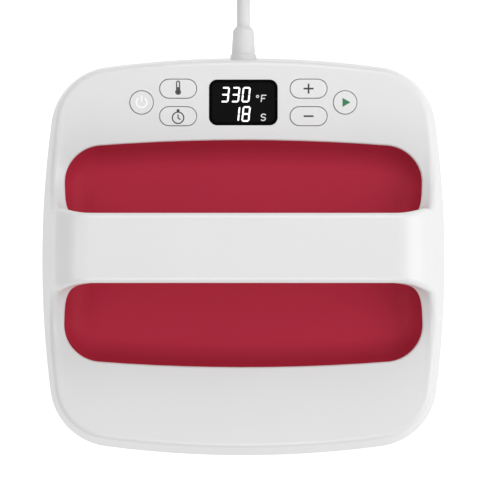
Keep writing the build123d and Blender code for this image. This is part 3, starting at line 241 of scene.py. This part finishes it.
# Looks of the record's slots: two tones, roughness, size of the patches, size of the grain and
# depth of the relief, then metallic and shine where they aren't plain
looks = {
    "shell": (greys(0.79, 0.82), 0.3, 0.05, 0.0005, 0.00001),
    "key": (greys(0.8, 0.83), 0.32, 0.02, 0.0005, 0.000008),
    "accent": (
        ((0.47, 0.025, 0.054), (0.51, 0.028, 0.06)), 0.5, 0.05, 0.0006, 0.00002, 0.0, 0.12),
    "platen": (greys(0.06, 0.085), 0.45, 0.02, 0.0007, 0.00002, 0.7),
    "element": (((0.2, 0.17, 0.15), (0.3, 0.28, 0.26)), 0.4, 0.01, 0.0004, 0.00002, 0.9),
    "felt": (((0.78, 0.76, 0.7), (0.86, 0.85, 0.8)), 0.95, 0.008, 0.0009, 0.0003),
    "sheet_metal": (greys(0.6, 0.7), 0.35, 0.02, 0.0006, 0.00001, 1.0),
    "ceramic": (((0.8, 0.77, 0.7), (0.85, 0.83, 0.78)), 0.5, 0.006, 0.0004, 0.00001),
    "screw_steel": (greys(0.5, 0.62), 0.35, 0.003, 0.0003, 0.00001, 1.0),
    "black_plastic": (greys(0.012, 0.022), 0.5, 0.01, 0.0004, 0.00001),
    "window": (greys(0.001, 0.002), 0.12, 0.01, 0.0005, 0.000001, 0.0, 0.05),
    "board": (((0.015, 0.12, 0.05), (0.02, 0.16, 0.07)), 0.35, 0.004, 0.0005, 0.00001),
    "capacitor": (((0.03, 0.05, 0.16), (0.04, 0.07, 0.2)), 0.35, 0.01, 0.0005, 0.00001),
    "terminal_green": (((0.02, 0.2, 0.08), (0.03, 0.25, 0.1)), 0.5, 0.01, 0.0005, 0.00001),
    "lead": (greys(0.5, 0.58), 0.55, 0.01, 0.0004, 0.00002),
    "ribbon": (greys(0.35, 0.42), 0.5, 0.002, 0.0004, 0.00002),
    "cord": (greys(0.68, 0.73), 0.42, 0.03, 0.0005, 0.00002),
    "tie": (greys(0.012, 0.022), 0.55, 0.01, 0.0004, 0.00002),
    "blade": (((0.7, 0.66, 0.55), (0.75, 0.72, 0.62)), 0.25, 0.01, 0.0005, 0.00001, 1.0),
}
screen_look = (greys(0.005, 0.007), 0.18, 0.01, 0.0005, 0.000001, 0.0, 0.05)

materials = {slot: surface(slot, *look) for slot, look in looks.items()}
dark_ink = ink("dark_ink", greys(0.035, 0.05))
# The power sign's pale print glows faintly: painted light that makes it brighter than the lamps
# light it.
pale_ink_painted_glow = ink("pale_ink_painted_glow", greys(0.93, 0.96), 0.08)
green_ink = ink("green_ink", ((0.02, 0.2, 0.07), (0.03, 0.24, 0.09)))
lit_digits = ink("lit_digits", greys(0.9, 0.95), 0.6)
lit_units = ink("lit_units", greys(0.6, 0.65), 0.15)
screen = surface("screen", *screen_look)


def dress_nodes():
    """Each CAD node gets the material of its slot."""
    for part in frame["record"]["subparts"]:
        mesh = nodes[part["node"]].data
        mesh.materials.clear()
        mesh.materials.append(materials[part["material_slot"]])


# The cord: one spline through the free stretch, the coil and the plug's lead

def coil_control_points():
    """Control points of the coil, pushed out so that the spline keeps the coil's radius."""
    outward = 1 / math.cos(math.pi / coil_points_per_turn)
    start = Vector(cord_run[-1]) + Vector((0, 2 * cord_radius, 0))
    centre = start + Vector((coil_outer_radius, 0, 0))
    inner = coil_outer_radius - coil_pitch * coil_turns_in
    crossed = coil_turns_in + coil_turns_across
    turns = crossed + coil_turns_out
    points = []
    for i in range(round(turns * coil_points_per_turn) + 1):
        turn = i / coil_points_per_turn
        level = 0.0
        if turn <= coil_turns_in:
            radius = coil_outer_radius - coil_pitch * turn
        elif turn <= crossed:
            share = (turn - coil_turns_in) / coil_turns_across
            radius = inner + coil_turns_across * coil_pitch * (share * share - share)
            level = coil_layer_step * share * share * (3 - 2 * share)
        else:
            radius = inner + coil_pitch * (turn - crossed)
            level = coil_layer_step
        angle = math.pi - 2 * math.pi * turn
        reach = radius * outward
        points.append(centre + Vector((reach * math.cos(angle), reach * math.sin(angle), level)))
    return points


def make_cord():
    relief_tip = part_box("strain_relief")[1].y
    level = (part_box("strain_relief")[0].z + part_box("strain_relief")[1].z) / 2
    exit_point = (0.0, relief_tip, level)
    coil = coil_control_points()
    plug_tip = Vector((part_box("plug_body")[0].x, coil[-1].y, coil[-1].z))
    points = [exit_point, *cord_run, *coil, (coil[-1] + plug_tip) / 2, plug_tip]
    curve = bpy.data.curves.new("mains_cord", "CURVE")
    curve.dimensions = "3D"
    curve.bevel_depth = cord_radius
    curve.bevel_resolution = cord_facets
    curve.resolution_u = cord_steps
    curve.use_fill_caps = True
    spline = curve.splines.new("NURBS")
    spline.points.add(len(points) - 1)
    for place, point in zip(spline.points, points):
        place.co = (*point, 1)
    spline.order_u = cord_order
    spline.use_endpoint_u = True
    cord = new_object("mains_cord", curve)
    curve.materials.append(materials["cord"])
    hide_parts("power_cord", "cord_coil", "plug_cord")
    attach(cord, "press")


# Signs

def arc(centre, radius, start, end, steps):
    """Points along an arc between two angles in degrees."""
    angles = [math.radians(start + (end - start) * i / steps) for i in range(steps + 1)]
    return [(centre[0] + radius * math.cos(a), centre[1] + radius * math.sin(a)) for a in angles]


def band(points, width):
    """The outline of a stroke of even width along a line of points."""
    left = []
    right = []
    for i, point in enumerate(points):
        before = Vector(points[max(i - 1, 0)])
        after = Vector(points[min(i + 1, len(points) - 1)])
        here = Vector(point)
        first = (here - before).normalized() if i else (after - here).normalized()
        last = (after - here).normalized() if i < len(points) - 1 else first
        across = Vector((-(first + last).y, (first + last).x)).normalized()
        reach = width / 2 / max(across.dot(Vector((-first.y, first.x))), sharpest_join)
        left.append(here + across * reach)
        right.append(here - across * reach)
    return left + right[::-1]


def capsule(start, end, width):
    """A stroke with round ends."""
    heading = math.degrees(math.atan2(end[1] - start[1], end[0] - start[0]))
    first = arc(start, width / 2, heading + 90, heading + 270, end_steps)
    return first + arc(end, width / 2, heading - 90, heading + 90, end_steps)


def rounded(width, height, corner):
    """A rectangle with round corners."""
    x = width / 2 - corner
    y = height / 2 - corner
    outline = []
    for i, (sx, sy) in enumerate([(1, 1), (-1, 1), (-1, -1), (1, -1)]):
        outline += arc((sx * x, sy * y), corner, 90 * i, 90 * i + 90, end_steps)
    return outline


def sign(name, middle, body, material, outlines=(), rings=()):
    """A thin raised print: filled outlines, and rings between an outer and an inner outline."""
    mesh = bmesh.new()
    low = middle.z + ink_gap
    for outline in outlines:
        face = mesh.faces.new([mesh.verts.new((x, y, low)) for x, y in outline])
        lift(mesh, [face])
    for outer, inner in rings:
        outside = [mesh.verts.new((x, y, low)) for x, y in outer]
        inside = [mesh.verts.new((x, y, low)) for x, y in inner]
        sides = zip(outside, outside[1:] + outside[:1], inside[1:] + inside[:1], inside)
        lift(mesh, [mesh.faces.new(side) for side in sides])
    bmesh.ops.translate(mesh, verts=mesh.verts, vec=(middle.x, middle.y, 0))
    bmesh.ops.recalc_face_normals(mesh, faces=mesh.faces)
    data = bpy.data.meshes.new(name)
    mesh.to_mesh(data)
    mesh.free()
    data.materials.append(material)
    piece = new_object(name, data)
    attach(piece, body)


def lift(mesh, faces):
    """Give flat faces their thickness."""
    made = bmesh.ops.extrude_face_region(mesh, geom=faces, use_keep_orig=True)
    raised = [v for v in made["geom"] if isinstance(v, bmesh.types.BMVert)]
    bmesh.ops.translate(mesh, verts=raised, vec=(0, 0, ink_thickness))


def top_of(node):
    """Middle of a node's top."""
    low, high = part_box(node)
    return Vector(((low.x + high.x) / 2, (low.y + high.y) / 2, high.z))


def circle(centre, radius):
    return arc(centre, radius, 0, 360, ring_steps)[:-1]


def plus_minus_signs():
    """A cross of four arms turned about its middle, and a single bar."""
    reach = bar_reach
    half = bar_half_width
    bar = [(-reach, -half), (reach, -half), (reach, half), (-reach, half)]
    cross = []
    for i in range(4):
        sine = math.sin(math.pi / 2 * i)
        cosine = math.cos(math.pi / 2 * i)
        for x, y in ((reach, -half), (reach, half), (half, half)):
            cross.append((x * cosine - y * sine, x * sine + y * cosine))
    sign("plus_sign", top_of("plus_button"), "plus_key", dark_ink, [cross])
    sign("minus_sign", top_of("minus_button"), "minus_key", dark_ink, [bar])


def keyhole(bulb, stem, top):
    """Outline of a thermometer: a bulb at the bottom and a round-ended stem above it."""
    spread = math.degrees(math.asin(stem / bulb))
    lower = arc((0, bulb_level), bulb, 90 + spread, 450 - spread, bulb_steps)
    upper = arc((0, top - stem), stem, 0, 180, stem_steps)
    return lower + upper


def thermometer_sign():
    outer = keyhole(*thermometer_form)
    inner = keyhole(*(size - thermometer_line for size in thermometer_form))
    sign("thermometer_sign", top_of("temperature_button"), "temperature_key", dark_ink,
         [keyhole(*mercury_form)], [(outer, inner)])


def stopwatch_sign():
    """A ring with a crown on top and two hands that meet at its middle."""
    middle = (0, watch_level)
    half = watch_line / 2
    ring = (circle(middle, watch_radius + half), circle(middle, watch_radius - half))
    top = watch_level + watch_radius + half
    low = top - crown_sink
    high = top + crown_height
    side = crown_half_width
    crown = [(-side, low), (side, low), (side, high), (-side, high)]
    hands = band([(x, watch_level + y) for x, y in hand_points], hand_line)
    sign("stopwatch_sign", top_of("timer_button"), "timer_key", dark_ink, [crown, hands], [ring])


def power_sign():
    ring = band(arc((0, 0), power_radius, *power_ends, ring_steps), power_line)
    stroke = band([(0, y) for y in power_stroke], power_line)
    sign("power_sign", top_of("power_button"), "power_key", pale_ink_painted_glow, [ring, stroke])


def start_sign():
    """A plain triangle that points to the right."""
    angles = [2 * math.pi / 3 * i for i in range(3)]
    shape = [(triangle_reach * math.cos(a), triangle_reach * math.sin(a)) for a in angles]
    sign("start_sign", top_of("start_button"), "start_key", green_ink, [shape])


# Segments of a digit, from one end to the other in half widths and half heights, and the
# segments that each digit lights
segments = {
    "top": ((-1, 1), (1, 1)),
    "upper_left": ((-1, 0), (-1, 1)),
    "upper_right": ((1, 0), (1, 1)),
    "middle": ((-1, 0), (1, 0)),
    "lower_left": ((-1, -1), (-1, 0)),
    "lower_right": ((1, -1), (1, 0)),
    "bottom": ((-1, -1), (1, -1)),
}
digits = {
    "0": ["top", "upper_left", "upper_right", "lower_left", "lower_right", "bottom"],
    "1": ["upper_right", "lower_right"],
    "3": ["top", "upper_right", "middle", "lower_right", "bottom"],
    "8": list(segments),
}


def digit_outlines(text, x, y):
    """Seven-segment digit, slanted, centred at x and y."""
    outlines = []
    for name in digits[text]:
        (ax, ay), (bx, by) = segments[name]
        start = Vector((ax * digit_width / 2, ay * digit_height / 2))
        end = Vector((bx * digit_width / 2, by * digit_height / 2))
        trim = (end - start).normalized() * digit_stroke * digit_trim
        outline = capsule(start + trim, end - trim, digit_stroke)
        outlines.append([(x + px + py * digit_slant, y + py) for px, py in outline])
    return outlines


def display_signs():
    """The lit reading: three digits over two, with their units."""
    middle = top_of("display_lens")
    sign("display_screen", middle, "press", screen, [rounded(*screen_size, screen_corner)])
    glass_top = middle + Vector((0, 0, ink_thickness))
    outlines = []
    for reading, level in readings.items():
        last = len(reading) - 1
        for i, text in enumerate(reading):
            outlines += digit_outlines(text, last_digit_x - (last - i) * digit_pitch, level)
    sign("display_reading", glass_top, "press", lit_digits, outlines)
    degree = tuple(circle(degree_place, radius) for radius in degree_radii)
    sign("display_units", glass_top, "press", lit_units, unit_letters(), [degree])


def unit_letters():
    """An F beside the upper row and an S beside the lower row."""
    line = letter_line
    wide, tall = f_size
    low_bar = tall * f_middle
    bar_end = wide * f_middle_reach
    letter_f = [
        (0, 0), (line, 0), (line, low_bar), (bar_end, low_bar), (bar_end, low_bar + line),
        (line, low_bar + line), (line, tall - line), (wide, tall - line), (wide, tall), (0, tall),
    ]
    left = unit_x - wide / 2
    slanted = [(left + px + py * digit_slant, f_level + py) for px, py in letter_f]
    lower = arc((0, 0), s_bend, *s_lower_ends, letter_steps)
    upper = arc((0, 2 * s_bend), s_bend, *s_upper_ends, letter_steps)
    path = [
        (unit_x + px * s_stretch + py * digit_slant, s_level + py) for px, py in lower + upper[1:]]
    return [slanted, band(path, line)]


# Stage, light and camera

def emissive_floor():
    """A plain white floor that glows, so that it stays pale, and is clear from below."""
    mesh = bpy.data.meshes.new("floor")
    corners = [
        (x * floor_half, y * floor_half, floor_level)
        for x, y in ((-1, -1), (1, -1), (1, 1), (-1, 1))]
    mesh.from_pydata(corners, [], [(0, 1, 2, 3)])
    material = bpy.data.materials.new("floor")
    material.use_nodes = True
    tree = material.node_tree
    shader = tree.nodes["Principled BSDF"]
    shader.inputs["Base Color"].default_value = (floor_tone, floor_tone, floor_tone, 1)
    shader.inputs["Roughness"].default_value = floor_roughness
    shader.inputs["Emission Color"].default_value = white
    seen = tree.nodes.new("ShaderNodeLightPath")
    glow = tree.nodes.new("ShaderNodeMapRange")
    glow.inputs["To Min"].default_value = floor_bounce
    glow.inputs["To Max"].default_value = floor_white
    tree.links.new(seen.outputs["Is Camera Ray"], glow.inputs["Value"])
    tree.links.new(glow.outputs["Result"], shader.inputs["Emission Strength"])
    side = tree.nodes.new("ShaderNodeNewGeometry")
    clear = tree.nodes.new("ShaderNodeBsdfTransparent")
    choice = tree.nodes.new("ShaderNodeMixShader")
    sources = (side.outputs["Backfacing"], shader.outputs["BSDF"], clear.outputs["BSDF"])
    for source, socket in zip(sources, choice.inputs):
        tree.links.new(source, socket)
    target = tree.nodes["Material Output"]
    tree.links.new(choice.outputs["Shader"], target.inputs["Surface"])
    mesh.materials.append(material)
    new_object("floor", mesh)


def soft_light(name, side, lean, distance, diameter, radiance):
    """A round lamp that looks at the object, with the power that gives it its radiance."""
    side = math.radians(side)
    lean = math.radians(lean)
    outward = math.sin(lean)
    away = Vector((math.cos(side) * outward, math.sin(side) * outward, math.cos(lean)))
    data = bpy.data.lights.new(name, "AREA")
    data.shape = "DISK"
    data.size = diameter
    area = math.pi * (diameter / 2) ** 2
    data.energy = radiance * math.pi * area
    lamp = new_object(name, data)
    lamp.location = light_target + away * distance
    lamp.rotation_euler = (-away).to_track_quat("-Z", "Y").to_euler()


def light_scene():
    world = bpy.data.worlds.new("studio")
    bpy.context.scene.world = world
    world.use_nodes = True
    backdrop = world.node_tree.nodes["Background"]
    backdrop.inputs["Color"].default_value = white
    backdrop.inputs["Strength"].default_value = world_strength
    for name, settings in lamps.items():
        soft_light(name + "_lamp", *settings)


def place_camera():
    data = bpy.data.cameras.new("camera")
    data.sensor_width = sensor_width
    data.lens = sensor_width * view_distance / view_width
    camera = new_object("camera", data)
    away = Vector((0, -math.sin(view_lean), math.cos(view_lean)))
    camera.location = view_target + away * view_distance
    camera.rotation_euler = (view_lean, 0, 0)
    bpy.context.scene.camera = camera
    bpy.context.scene.view_settings.view_transform = "Standard"


place_camera()
dress_nodes()
make_cord()
plus_minus_signs()
thermometer_sign()
stopwatch_sign()
power_sign()
start_sign()
display_signs()
emissive_floor()
light_scene()
